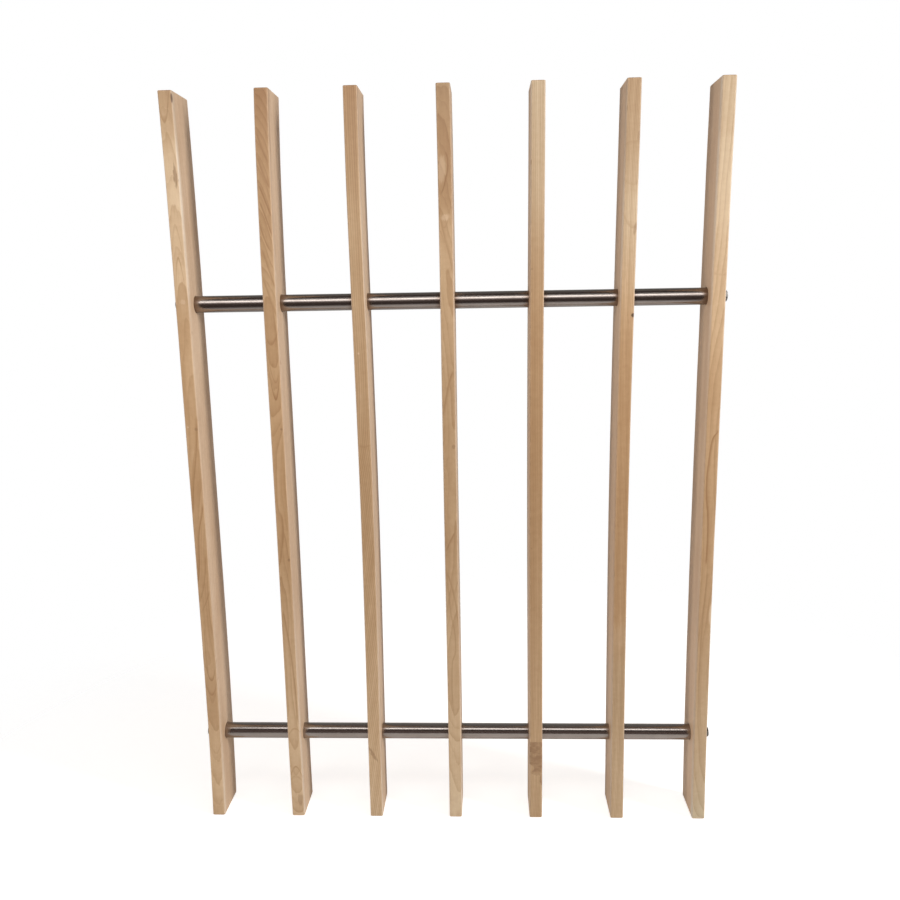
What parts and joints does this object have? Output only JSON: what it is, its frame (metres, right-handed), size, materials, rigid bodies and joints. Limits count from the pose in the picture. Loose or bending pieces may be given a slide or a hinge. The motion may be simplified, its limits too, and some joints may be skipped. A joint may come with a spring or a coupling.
{
  "type": "slatted hanging rack",
  "caption": "Slatted timber rack for hanging under a ceiling: parallel edge-on slats held apart by steel tubes and clamped on threaded rods.",
  "frame": {"origin": "on the floor plane z = 0, under the middle of the rack, at half its width and half its depth", "axes": "+X to the right across the slats, seen from the front; +Y from the slats' front edges to their back edges; +Z up along the slats. When the rack hangs flat under a ceiling, -Y points up or down and the slats are level"},
  "size_m": [0.7262, 0.06, 1],
  "materials": {
    "slat_wood": "pale straight-sawn ash or larch, planed and sanded, thin clear matt oil, with visible grain",
    "tube_steel": "drawn stainless tube, satin polished along and round",
    "rod_steel": "rolled stainless threaded rod, bright",
    "washer_steel": "stamped stainless washer, tumbled",
    "nut_steel": "cold-formed stainless hexagon nut, slightly dull"
  },
  "bodies": {
    "root": {"slat_1": "slat_wood", "slat_2": "slat_wood", "slat_3": "slat_wood", "slat_4": "slat_wood", "slat_5": "slat_wood", "slat_6": "slat_wood", "slat_7": "slat_wood", "lower_spacer_1": "tube_steel", "lower_spacer_2": "tube_steel", "lower_spacer_3": "tube_steel", "lower_spacer_4": "tube_steel", "lower_spacer_5": "tube_steel", "lower_spacer_6": "tube_steel", "lower_rod": "rod_steel", "lower_washer_left": "washer_steel", "lower_nut_left": "nut_steel", "lower_washer_right": "washer_steel", "lower_nut_right": "nut_steel", "upper_spacer_1": "tube_steel", "upper_spacer_2": "tube_steel", "upper_spacer_3": "tube_steel", "upper_spacer_4": "tube_steel", "upper_spacer_5": "tube_steel", "upper_spacer_6": "tube_steel", "upper_rod": "rod_steel", "upper_washer_left": "washer_steel", "upper_nut_left": "nut_steel", "upper_washer_right": "washer_steel", "upper_nut_right": "nut_steel"}
  },
  "joints": []
}
